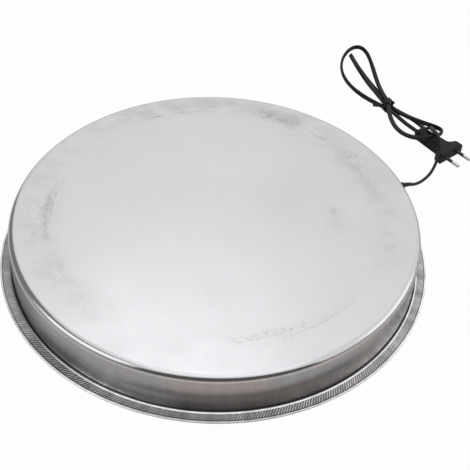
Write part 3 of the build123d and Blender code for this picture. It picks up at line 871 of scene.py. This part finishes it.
def drawnSteel():
    material, tree, shader = newMaterial("drawnSteel", 1.0)
    polar = placeGroup(tree, polarField)
    skin, disc, height = polar["Skin"], polar["Disc"], polar["Height"]
    place = objectPlace(tree)
    depth = calc(tree, "SUBTRACT", pan["height"], height)
    wall = ramp(tree, depth, *panFinish["wallStart"])
    # painted shade: the dark band along the wall's foot
    foot = ramp(tree, height, *panFinish["footEnd"], 1.0, 0.0)
    scuffs = plateScuffs(tree, place, disc)
    cloud = grainTone(tree, place, panGrains["cloud"], panGrains["rolled"])
    plateTone = product(tree, cloud, calc(tree, "SUBTRACT", 1.0, scuffs))
    brushed = grainTone(tree, skin, panGrains["brushed"], panGrains["streak"])
    # painted highlight: a light line just under the corner, where the crease catches the light
    line = between(tree, depth, panFinish["lineStart"], panFinish["lineEnd"])
    creaseLit = calc(tree, "MULTIPLY_ADD", line, panFinish["drawLine"], 1.0)
    # painted shade: the wall darkens towards its foot, standing in for the dark mirror image of the hem
    # and of the floor's shadow
    shaded = ramp(tree, height, *panFinish["shadeEnd"], panFinish["lowShade"], 1.0)
    # painted light: in these patches the low wall is brightened again, standing in for a bright mirror
    # image
    low = ramp(tree, height, *panFinish["rubbedEnd"], 1.0, 0.0)
    footLight = product(tree, rubSum(tree, disc, panFinish["rubbedFoot"]), low)
    shaded = blend(tree, footLight, shaded, panFinish["rubbedShade"])
    wallTone = product(tree, brushed, creaseLit, blend(tree, foot, shaded, 1.0))
    warmth = ramp(tree, grainValue(tree, skin, *panGrains["warm"]), *panFinish["warmRange"])
    warmth = product(tree, warmth, rubSum(tree, disc, panFinish["warmSide"]))
    wallColour = tint(tree, warmth, panFinish["wall"], panFinish["wallWarm"])
    wallColour = tint(tree, foot, wallColour, panFinish["foot"])
    colour = tint(tree, wall, panFinish["plate"], wallColour)
    colour = dim(tree, colour, blend(tree, wall, plateTone, wallTone))
    plateRough = grainValue(tree, place, *panGrains["plateRough"])
    plateRough = calc(tree, "ADD", plateRough, product(tree, scuffs, panFinish["scuffRoughness"]))
    rough = blend(tree, wall, plateRough, grainValue(tree, skin, *panGrains["wallRough"]))
    corner = between(tree, depth, panFinish["cornerStart"], panFinish["cornerEnd"])
    rough = blend(tree, corner, rough, panFinish["cornerRoughness"])
    plateBump = grainValue(tree, place, *panGrains["plateBump"])
    relief = blend(tree, wall, plateBump, grainValue(tree, skin, *panGrains["wallBump"]))
    dress(tree, shader, colour, rough, relief, panFinish["bump"])
    return material


giveMaterial(drawnPan, drawnSteel())
print("pan finished")


# Hem finish: dark knurled leaf, a bright fold that is a painted highlight, a dark step line that is
# painted shade, a polished bead, and painted side light on the leaf, fold and ribs
hemGrains = {  # stretch, low, high, detail
    "patch": ((16, 16, 60), 0.82, 1.18, 3.0),
    "fine": ((240, 240, 300), 0.86, 1.14),
    "rolled": ((60, 700, 60), 0.9, 1.08, 3.0),
    "spangle": ((120, 120, 120), 0.92, 1.08, 1.0),
    "rough": ((60, 60, 200), 0.30, 0.46),
    "bump": ((300, 900, 300), 0.0, 1.0),
    "ribPatch": ((16, 16, 60), 0.76, 1.22, 3.0),
    "ribFine": ((150, 150, 150), 0.74, 1.22),
    "ribRough": ((90, 90, 90), 0.28, 0.46),
    "ribBump": ((900, 900, 900), 0.0, 1.0),
}
hemFinish = {
    "stops": [  # radius, grey
        # the first two rows are the bright fold, a painted highlight on the hem's raised lip
        (0.1988, 0.84),
        (0.2009, 0.84),
        (0.2012, 0.17),
        (0.2076, 0.17),
        # the next two rows are the dark step line, painted shade in the step between the leaf and the bead
        (0.2079, 0.07),
        (0.2083, 0.08),
        (0.2087, 0.94),
        (0.2100, 0.94),
    ],
    "under": (0.44, 0.44, 0.455),
    "rib": (0.52, 0.518, 0.516),
    # painted side light: start and end along X, with the axis at 0 and the rim at 1, and the tones there;
    # the tone is lighter or darker by side, as the light falls
    "leafSides": (-0.9, 0.9, 0.78, 2.05),
    "foldSides": (-0.95, -0.55, 0.42, 1.0),
    "ribSides": (-0.9, 0.9, 0.58, 1.70),
    "farSide": (-0.86, -0.70, 1.75, 1.0),
    # heights and radii, over which a mask comes or goes
    "upperHeights": (0.0009, 0.0013),
    "upperRadii": (0.1950, 0.1980),
    "leafStart": (0.2010, 0.2012),
    "leafEnd": (0.2083, 0.2086),
    "beadRoughness": 0.52,
    "bump": 0.05,
    "ribBump": 0.08,
}


def radiusRamp(tree, radius, stops):
    first, last = stops[0][0], stops[-1][0]
    node = addNode(tree, "ShaderNodeValToRGB")
    share = feedAll(tree, addNode(tree, "ShaderNodeMapRange"), radius, first, last, 0.0, 1.0)[0]
    tree.links.new(share, node.inputs[0])
    steps = node.color_ramp.elements
    while len(steps) < len(stops):
        steps.new(0.5)
    for step, (place, grey) in zip(steps, stops):
        step.position = (place - first) / (last - first)
        step.color = (grey, grey, grey, 1)
    return node.outputs[0]


def sideLightTone(tree, skin, side):
    # painted side light: a tone that changes along X, mostly from the darker -X side to the lighter +X
    # side, as the light falls
    return ramp(tree, splitXYZ(tree, skin)["X"], *hemFinish[side])


def rolledHem():
    material, tree, shader = newMaterial("rolledHem", 1.0)
    polar = placeGroup(tree, polarField)
    skin, radius, height = polar["Skin"], polar["Radius"], polar["Height"]
    place = objectPlace(tree)
    raised = ramp(tree, height, *hemFinish["upperHeights"])
    upper = product(tree, raised, ramp(tree, radius, *hemFinish["upperRadii"]))
    pastFold = ramp(tree, radius, *hemFinish["leafStart"])
    leaf = between(tree, radius, hemFinish["leafStart"], hemFinish["leafEnd"])
    bead = ramp(tree, radius, *hemFinish["leafEnd"])
    # painted side light: the fold and the leaf are lighter or darker by side, as the light falls
    foldLitTone = blend(tree, pastFold, sideLightTone(tree, skin, "foldSides"), 1.0)
    leafLitTone = product(tree, sideLightTone(tree, skin, "farSide"), sideLightTone(tree, skin, "leafSides"))
    patch = grainTone(tree, skin, hemGrains["patch"], hemGrains["fine"])
    topTone = product(tree, patch, blend(tree, leaf, foldLitTone, leafLitTone))
    topColour = dim(tree, radiusRamp(tree, radius, hemFinish["stops"]), topTone)
    underTone = grainTone(tree, place, hemGrains["rolled"], hemGrains["spangle"])
    underColour = dim(tree, hemFinish["under"], underTone)
    colour = tint(tree, upper, underColour, topColour)
    rough = blend(tree, bead, grainValue(tree, skin, *hemGrains["rough"]), hemFinish["beadRoughness"])
    dress(tree, shader, colour, rough, grainValue(tree, place, *hemGrains["bump"]), hemFinish["bump"])
    return material


giveMaterial(hemmedBase, rolledHem())


# Knurl: leaning ribs pressed round the hem's leaf
knurl = {
    "Count": 500,
    "Radius": 0.2044,
    "Height": 0.00176,
    "Length": 0.0076,
    "Width": 0.00105,
    "Lean": math.radians(145),
}
ribForm = {"sides": 6, "least": (0.85, 0.85, 0.93), "most": (1.12, 1.12, 1.03), "seed": 5}


def knurlSteel():
    material, tree, shader = newMaterial("knurlSteel", 1.0)
    skin = placeGroup(tree, polarField)["Skin"]
    patch = grainTone(tree, skin, hemGrains["ribPatch"], hemGrains["ribFine"])
    # painted side light: the ribs are lighter or darker by side, as the light falls
    tone = product(tree, patch, sideLightTone(tree, skin, "farSide"), sideLightTone(tree, skin, "ribSides"))
    rough = grainValue(tree, skin, *hemGrains["ribRough"])
    relief = grainValue(tree, objectPlace(tree), *hemGrains["ribBump"])
    dress(tree, shader, dim(tree, hemFinish["rib"], tone), rough, relief, hemFinish["ribBump"])
    return material


def knurlTree(finish):
    tree = bpy.data.node_groups.new("hemKnurl", "GeometryNodeTree")
    tree.interface.new_socket("Geometry", in_out="INPUT", socket_type="NodeSocketGeometry")
    tree.interface.new_socket("Geometry", in_out="OUTPUT", socket_type="NodeSocketGeometry")
    for name, value in knurl.items():
        kind = "NodeSocketInt" if isinstance(value, int) else "NodeSocketFloat"
        tree.interface.new_socket(name, in_out="INPUT", socket_type=kind)
    given = addNode(tree, "NodeGroupInput").outputs
    ring = addNode(tree, "GeometryNodeMeshCircle", fill_type="NONE")
    tree.links.new(given["Count"], ring.inputs["Vertices"])
    tree.links.new(given["Radius"], ring.inputs["Radius"])
    rib = addNode(tree, "GeometryNodeMeshCylinder", fill_type="NGON")
    rib.inputs["Vertices"].default_value = ribForm["sides"]
    tree.links.new(product(tree, given["Width"], 0.5), rib.inputs["Radius"])
    tree.links.new(given["Length"], rib.inputs["Depth"])
    outward = addNode(tree, "FunctionNodeAlignRotationToVector", axis="X", pivot_axis="Z")
    tree.links.new(addNode(tree, "GeometryNodeInputPosition").outputs[0], outward.inputs["Vector"])
    leanTurn = addNode(tree, "FunctionNodeEulerToRotation")
    tree.links.new(joinXYZ(tree, 0.0, math.radians(90), given["Lean"]), leanTurn.inputs[0])
    turn = addNode(tree, "FunctionNodeRotateRotation", rotation_space="LOCAL")
    tree.links.new(outward.outputs[0], turn.inputs["Rotation"])
    tree.links.new(leanTurn.outputs[0], turn.inputs["Rotate By"])
    uneven = addNode(tree, "FunctionNodeRandomValue", data_type="FLOAT_VECTOR")
    uneven.inputs[0].default_value = ribForm["least"]
    uneven.inputs[1].default_value = ribForm["most"]
    uneven.inputs["Seed"].default_value = ribForm["seed"]
    spread = addNode(tree, "GeometryNodeInstanceOnPoints")
    tree.links.new(ring.outputs[0], spread.inputs["Points"])
    tree.links.new(rib.outputs["Mesh"], spread.inputs["Instance"])
    tree.links.new(turn.outputs[0], spread.inputs["Rotation"])
    tree.links.new(uneven.outputs[0], spread.inputs["Scale"])
    lift = addNode(tree, "GeometryNodeTransform")
    tree.links.new(spread.outputs[0], lift.inputs["Geometry"])
    tree.links.new(joinXYZ(tree, 0.0, 0.0, given["Height"]), lift.inputs["Translation"])
    solid = addNode(tree, "GeometryNodeRealizeInstances")
    tree.links.new(lift.outputs[0], solid.inputs[0])
    paint = addNode(tree, "GeometryNodeSetMaterial")
    paint.inputs["Material"].default_value = finish
    tree.links.new(solid.outputs[0], paint.inputs["Geometry"])
    tree.links.new(paint.outputs[0], addNode(tree, "NodeGroupOutput").inputs[0])
    return tree


def addKnurl():
    piece = linkMesh("hem_knurl", bpy.data.meshes.new("hem_knurl"))
    tree = knurlTree(knurlSteel())
    press = piece.modifiers.new("knurl", "NODES")
    press.node_group = tree
    for socket in tree.interface.items_tree:
        if socket.in_out == "INPUT" and socket.name in knurl:
            press[socket.identifier] = knurl[socket.name]
    applyModifiers(piece)
    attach(piece, "base")
    return piece


hemKnurl = addKnurl()
print("hem knurled,", len(hemKnurl.data.polygons), "faces")


# Black finishes: sheath, moulded plug and bush, covered tie
blackFinishes = {
    "softSheath": {"colour": (0.007, 0.007, 0.0073), "rough": (0.34, 0.46), "scale": 700, "bump": 0.05},
    "mouldedPlug": {"colour": (0.009, 0.009, 0.009), "rough": (0.42, 0.56), "scale": 2600, "bump": 0.10},
    "tieCover": {"colour": (0.007, 0.007, 0.007), "rough": (0.40, 0.52), "scale": 1200, "bump": 0.06},
    "bushRubber": {"colour": (0.013, 0.013, 0.013), "rough": (0.52, 0.66), "scale": 1800, "bump": 0.12},
}
blackGrain = {
    "specular": 0.22,
    "dust": ((90, 90, 90), 0.85, 1.2, 3.0),
    "fineTone": (0.8, 1.25),
    "roughStretch": (220, 220, 220),
    "roughDetail": 3.0,
}


def blackFinish(name):
    plan = blackFinishes[name]
    material, tree, shader = newMaterial(name)
    shader.inputs["Specular IOR Level"].default_value = blackGrain["specular"]
    place = objectPlace(tree)
    fine = (plan["scale"],) * 3
    dust = grainTone(tree, place, blackGrain["dust"], (fine, *blackGrain["fineTone"]))
    rough = grainValue(tree, place, blackGrain["roughStretch"], *plan["rough"], blackGrain["roughDetail"])
    relief = grainValue(tree, place, fine, 0.0, 1.0)
    dress(tree, shader, dim(tree, plan["colour"], dust), rough, relief, plan["bump"])
    return material


blackMaterials = {name: blackFinish(name) for name in blackFinishes}
giveMaterial(flatCord, blackMaterials["softSheath"])
giveMaterial(wireTie, blackMaterials["tieCover"])


# Finishes of the pieces inside and of the plug, by the record's slots
classFinishes = {  # metallic, roughness range, stretch of the grain, tone range, bump
    "brushed_steel": (1.0, (0.30, 0.44), (60, 900, 60), (0.84, 1.10), 0.06),
    "aluminium": (1.0, (0.22, 0.38), (300, 300, 300), (0.88, 1.08), 0.10),
    "brass": (1.0, (0.26, 0.40), (500, 80, 500), (0.86, 1.10), 0.05),
    "chrome": (1.0, (0.16, 0.28), (200, 1200, 200), (0.64, 0.76), 0.04),
    "rubber": (0.0, (0.48, 0.62), (900, 900, 900), (0.82, 1.16), 0.10),
    "matte_plastic": (0.0, (0.42, 0.56), (1500, 1500, 1500), (0.84, 1.16), 0.10),
    "ceramic": (0.0, (0.30, 0.42), (1500, 1500, 1500), (0.92, 1.05), 0.06),
    "fabric": (0.0, (0.85, 0.97), (350, 900, 500), (0.72, 1.15), 0.60),
}
ownFinishes = {
    "plug_plastic": "mouldedPlug",
    "cord_sheath": "softSheath",
    "bush_rubber": "bushRubber",
    "tie_plastic": "tieCover",
}
slotGrain = {"toneDetail": 3.0, "cloud": ((40, 40, 40), 0.94, 1.06)}


def slotFinish(entry):
    metallic, rough, stretch, tone, bump = classFinishes[entry["class"]]
    words = entry["slot"].split("_")
    name = words[0] + "".join(w.capitalize() for w in words[1:]) + "Finish"
    material, tree, shader = newMaterial(name, metallic)
    place = objectPlace(tree)
    shade = grainTone(tree, place, (stretch, *tone, slotGrain["toneDetail"]), slotGrain["cloud"])
    colour = dim(tree, tuple(entry["base_color"]), shade)
    coarse = grainValue(tree, place, tuple(s / 2 for s in stretch), *rough)
    dress(tree, shader, colour, coarse, grainValue(tree, place, stretch, 0.0, 1.0), bump)
    return material


slotMaterials = {}
for entry in frame["record"]["materials"]:
    slot = entry["slot"]
    slotMaterials[slot] = blackMaterials[ownFinishes[slot]] if slot in ownFinishes else slotFinish(entry)
for row in frame["record"]["subparts"]:
    giveMaterial(nodes[row["node"]], slotMaterials[row["material_slot"]])
print("finishes given,", len(slotMaterials), "slots")


# Floor, cards, lights and world
stage = {
    "floorSize": 8.0,
    "floorDrop": 0.0002,
    "floorColour": (0.86, 0.86, 0.86, 1),
    "floorRoughness": 0.9,
    "floorGlow": 0.965,
    "floorMirrored": 0.16,
    "ambient": 0.55,
    "lamps": [  # name, place, width, height, power
        ("backSoftbox", (-0.14, 0.71, 1.6), 0.5, 0.8, 2.2),
        ("topSoftbox", (0.10, -0.45, 1.65), 1.6, 1.5, 3.0),
        ("leftSoftbox", (-1.36, -0.84, 0.62), 1.25, 1.15, 2.4),
        ("rightSoftbox", (1.60, 0.14, 0.55), 1.1, 0.95, 1.5),
    ],
    "cardColour": (0.01, 0.01, 0.01, 1),
    "frontGlow": 0.13,
    "leftGlow": 0.26,
    "frontFlag": (-0.62, 1.25),
    "frontBend": [(-0.32, 0.0), (-1.05, 0.0), (-1.05, 0.70)],
    "leftFlag": [  # azimuth, height of the lower edge
        (134, 0.05),
        (146, 0.05),
        (158, 0.05),
        (170, 0.05),
        (183, 0.05),
        (184, 0.72),
        (200, 0.95),
        (216, 1.2),
        (232, 1.5),
    ],
    "leftReach": 1.4,
    "leftTop": 1.75,
    "ringSteps": 96,
    "skirtRadius": 1.9,
    "skirtTop": 0.10,
    # the shade ring is a black card on the floor that stands in for the floor's shadow beside the rim, as
    # the wall mirrors it
    "shadeInner": 0.2105,
    "shadeOuter": [  # azimuth, outer radius of the dark ring that the wall mirrors
        (0, 0.2160),
        (150, 0.2160),
        (180, 0.2200),
        (195, 0.2190),
        (207, 0.2150),
        (218, 0.2120),
        (231, 0.2138),
        (242, 0.2122),
        (256, 0.2112),
        (266, 0.2124),
        (300, 0.2126),
        (325, 0.2140),
        (340, 0.2160),
        (360, 0.2160),
    ],
    # a black card by the hem's lip that stands in for shade in the mirror image on the low front wall
    "lipCard": (-116, -40),
    "lipRadius": 0.2108,
    "lipHeights": (0.0046, 0.0098),
    "lipSteps": 40,
    "lipFlare": 2.2,
    "lipLeast": 0.0001,
}


def seenBy(tree, *rays):
    # 1 for the named kinds of rays
    path = addNode(tree, "ShaderNodeLightPath").outputs
    return chain(tree, "MAXIMUM", *[path[ray] for ray in rays])


def addWorld():
    world = bpy.data.worlds.new("studio")
    scene.world = world
    world.use_nodes = True
    tree = world.node_tree
    light = tree.nodes["Background"]
    seen = seenBy(tree, "Is Camera Ray", "Is Glossy Ray", "Is Transmission Ray")
    tree.links.new(blend(tree, seen, stage["ambient"], 1.0), light.inputs["Strength"])
    light.inputs["Color"].default_value = (1, 1, 1, 1)


def addFloor():
    half = stage["floorSize"] / 2
    mesh = bpy.data.meshes.new("floor")
    corners = [(-half, -half), (half, -half), (half, half), (-half, half)]
    mesh.from_pydata([(x, y, -stage["floorDrop"]) for x, y in corners], [], [(0, 1, 2, 3)])
    floor = linkMesh("floor", mesh)
    material, tree, shader = newMaterial("paleFloor", roughness=stage["floorRoughness"])
    shader.inputs["Base Color"].default_value = stage["floorColour"]
    glow = addNode(tree, "ShaderNodeEmission")
    mix = addNode(tree, "ShaderNodeMixShader")
    direct = product(tree, seenBy(tree, "Is Camera Ray"), stage["floorGlow"])
    mirrored = seenBy(tree, "Is Glossy Ray", "Is Transmission Ray")
    mirrored = product(tree, mirrored, stage["floorMirrored"])
    tree.links.new(calc(tree, "MAXIMUM", direct, mirrored), mix.inputs[0])
    tree.links.new(shader.outputs[0], mix.inputs[1])
    tree.links.new(glow.outputs[0], mix.inputs[2])
    tree.links.new(mix.outputs[0], tree.nodes["Material Output"].inputs["Surface"])
    mesh.materials.append(material)


def addCard(name, rings, finish):
    # card that only mirrors show
    mesh = bpy.data.meshes.new(name)
    count = len(rings[0])
    corners = [i * count + j for i in range(len(rings) - 1) for j in range(count - 1)]
    faces = [(k, k + 1, count + k + 1, count + k) for k in corners]
    mesh.from_pydata([p for ring in rings for p in ring], [], faces)
    mesh.materials.append(finish)
    card = linkMesh(name, mesh)
    for ray in ("camera", "diffuse", "shadow", "transmission"):
        setattr(card, "visible_" + ray, False)


def cardFinish(name, glow):
    finish, _, shader = newMaterial(name, roughness=1.0)
    shader.inputs["Base Color"].default_value = stage["cardColour"]
    shader.inputs["Specular IOR Level"].default_value = 0.0
    shader.inputs["Emission Color"].default_value = (1, 1, 1, 1)
    shader.inputs["Emission Strength"].default_value = glow
    return finish


def shadeReach(turn):
    # the dark ring's outer radius, between the two keys beside the turn
    azimuth = math.degrees(turn)
    for (near, nearReach), (far, farReach) in zip(stage["shadeOuter"], stage["shadeOuter"][1:]):
        if azimuth <= far:
            return nearReach + (farReach - nearReach) * (azimuth - near) / (far - near)
    return stage["shadeOuter"][-1][1]


def roundRow(turns, reachAt, height):
    return [(reachAt(t) * math.cos(t), reachAt(t) * math.sin(t), height) for t in turns]


def addCards():
    black = cardFinish("blackCard", 0.0)
    front = [[(x, y, z) for x in stage["frontFlag"]] for y, z in stage["frontBend"]]
    addCard("frontFlag", front, cardFinish("frontCard", stage["frontGlow"]))
    ways = [(heading(azimuth) * stage["leftReach"], low) for azimuth, low in stage["leftFlag"]]
    left = [[(w.x, w.y, low) for w, low in ways], [(w.x, w.y, stage["leftTop"]) for w, low in ways]]
    addCard("leftFlag", left, cardFinish("leftCard", stage["leftGlow"]))
    turns = [2 * math.pi * share for share in shares(stage["ringSteps"])]
    skirt = [roundRow(turns, lambda turn: stage["skirtRadius"], z) for z in (0.0, stage["skirtTop"])]
    addCard("lowSkirt", skirt, black)
    # painted shadow: a black ring on the floor, seen only in mirrors
    inner = roundRow(turns, lambda turn: stage["shadeInner"], 0.0)
    addCard("shadeRing", [inner, roundRow(turns, shadeReach, 0.0)], black)
    # painted shade: a black card by the lip, seen only in mirrors
    start, end = stage["lipCard"]
    bottom, top = stage["lipHeights"]
    low, high = [], []
    for share in shares(stage["lipSteps"]):
        way = heading(start + (end - start) * share) * stage["lipRadius"]
        full = min(1.0, stage["lipFlare"] * math.sin(math.pi * share))
        low.append((way.x, way.y, bottom))
        high.append((way.x, way.y, bottom + (top - bottom) * full + stage["lipLeast"]))
    addCard("lipCard", [low, high], black)


def addLamp(name, place, width, height, power):
    lamp = bpy.data.lights.new(name, "AREA")
    lamp.shape = "RECTANGLE"
    lamp.size = width
    lamp.size_y = height
    lamp.energy = power
    holder = bpy.data.objects.new(name, lamp)
    holder.location = place
    holder.rotation_euler = (-Vector(place)).to_track_quat("-Z", "Y").to_euler()
    scene.collection.objects.link(holder)


addWorld()
addFloor()
addCards()
for lampPlan in stage["lamps"]:
    addLamp(*lampPlan)
scene.view_settings.view_transform = "Standard"
print("stage set")
